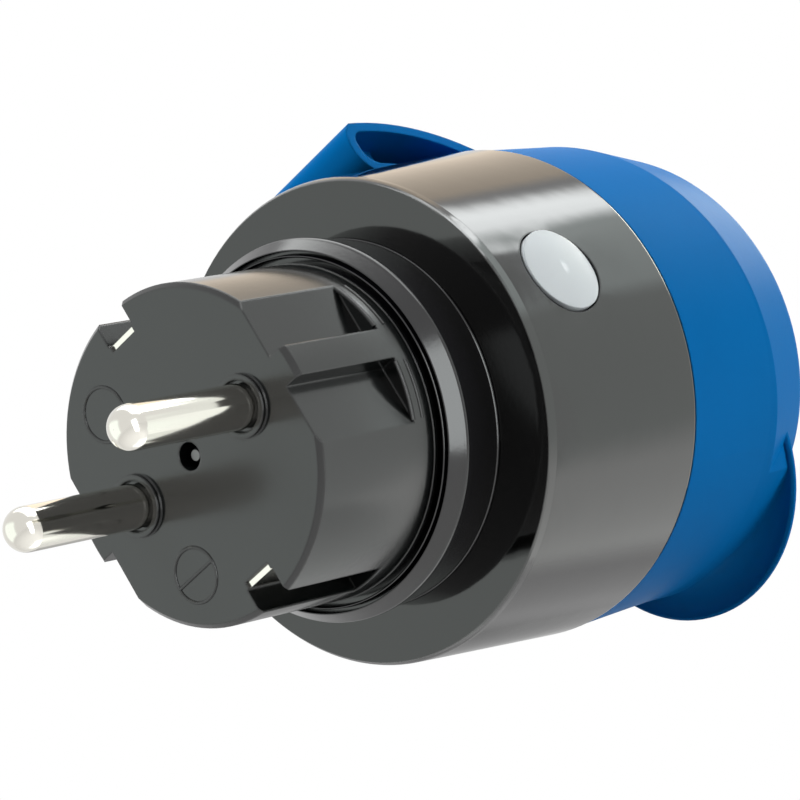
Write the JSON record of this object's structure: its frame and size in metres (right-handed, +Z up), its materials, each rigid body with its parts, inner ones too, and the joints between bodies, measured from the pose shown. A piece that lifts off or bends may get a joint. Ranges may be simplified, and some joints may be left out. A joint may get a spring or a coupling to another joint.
{
  "type": "outdoor plug-in socket",
  "caption": "Round outdoor plug-in outlet: a two-pin plug with side earth behind, a recessed socket under a sprung lid in front, and a push button on its side.",
  "frame": {"origin": "centre of the plug's face, midway between the two pins", "axes": "+Y along the pins into the wall, -Y out through the lid, +Z up to the hinge, -X to the side with the button"},
  "size_m": [0.0544, 0.0958, 0.0629],
  "materials": {
    "plug_body": "satin",
    "pin_left": "polished",
    "pin_right": "polished",
    "earth_strip_top": "polished",
    "earth_strip_bottom": "polished",
    "plug_ring": "satin",
    "main_housing": "glossy",
    "socket_insert": "satin",
    "socket_floor": "satin",
    "centre_screw": "satin",
    "housing_seal": "matte",
    "earth_spring_top": "satin",
    "earth_spring_bottom": "satin",
    "earth_bridge": "satin",
    "contact_left": "satin",
    "contact_right": "satin",
    "live_bar": "satin",
    "switched_bar": "satin",
    "main_board": "satin",
    "control_board": "satin",
    "button_cap": "satin",
    "button_seal": "matte",
    "lid": "satin",
    "lid_seal": "matte",
    "hinge_pin": "polished",
    "hinge_spring": "satin",
    "relay": "satin",
    "film_capacitor": "glossy",
    "smoothing_capacitor": "glossy",
    "thermal_fuse": "satin",
    "choke": "matte",
    "radio_module": "satin",
    "status_led": "glossy",
    "push_switch": "satin",
    "switch_plunger": "satin"
  },
  "bodies": {
    "base": {"plug_body": "plug_body", "pin_left": "pin_left", "pin_right": "pin_right", "earth_strip_top": "earth_strip_top", "earth_strip_bottom": "earth_strip_bottom", "plug_ring": "plug_ring", "main_housing": "main_housing", "socket_insert": "socket_insert", "socket_floor": "socket_floor", "centre_screw": "centre_screw", "housing_seal": "housing_seal", "earth_spring_top": "earth_spring_top", "earth_spring_bottom": "earth_spring_bottom", "earth_bridge": "earth_bridge", "contact_left": "contact_left", "contact_right": "contact_right", "live_bar": "live_bar", "switched_bar": "switched_bar", "main_board": "main_board", "control_board": "control_board", "hinge_spring": "hinge_spring", "relay": "relay", "film_capacitor": "film_capacitor", "smoothing_capacitor": "smoothing_capacitor", "thermal_fuse": "thermal_fuse", "choke": "choke", "radio_module": "radio_module", "status_led": "status_led", "push_switch": "push_switch"},
    "lid": {"lid": "lid", "lid_seal": "lid_seal", "hinge_pin": "hinge_pin"},
    "button": {"button_cap": "button_cap", "button_seal": "button_seal", "switch_plunger": "switch_plunger"}
  },
  "joints": [
    {"name": "lid_hinge", "type": "hinge", "parent": "base", "child": "lid", "pos_m": [0, -0.044, 0.0291], "axis": [-1, 0, 0], "range_deg": [0, 100], "stiffness_Nm_per_rad": 0.012, "springref_deg": -34.38, "deforming": ["hinge_spring"]},
    {"name": "button_press", "type": "slide", "parent": "base", "child": "button", "axis": [1, 0, 0], "range_m": [0, 0.0008], "stiffness_N_per_m": 1500, "springref_m": -0.0002}
  ]
}
